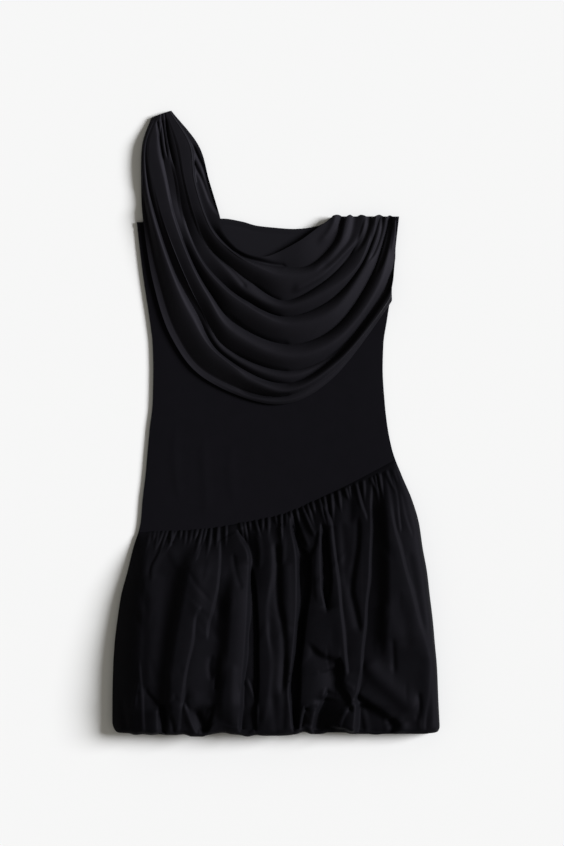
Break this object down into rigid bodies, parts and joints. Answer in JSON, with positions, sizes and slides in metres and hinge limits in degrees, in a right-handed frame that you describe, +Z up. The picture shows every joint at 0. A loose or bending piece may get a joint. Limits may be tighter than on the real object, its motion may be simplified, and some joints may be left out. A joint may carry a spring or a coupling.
{
  "type": "one-shoulder dress",
  "caption": "Short one-shoulder dress laid flat, with a draped swag front, a fitted bodice and a puffed, gathered skirt on a slanting hip seam.",
  "frame": {"origin": "centre of the dress's outline, on the surface it lies on", "axes": "+X towards the side without a strap, +Y up the dress to the shoulder, +Z up out of the dress's front"},
  "size_m": [0.4586, 0.8744, 0.0429],
  "materials": {
    "bodice_jersey": "matt black stretch jersey",
    "drape_jersey": "fine black jersey with a soft sheen",
    "skirt_weave": "crisp black weave with a slight sheen"
  },
  "bodies": {
    "root": {"bodice_back": "bodice_jersey", "bodice_front": "bodice_jersey", "strap_back": "bodice_jersey", "drape_front": "drape_jersey", "skirt_back": "skirt_weave", "skirt_front": "skirt_weave"}
  },
  "joints": []
}
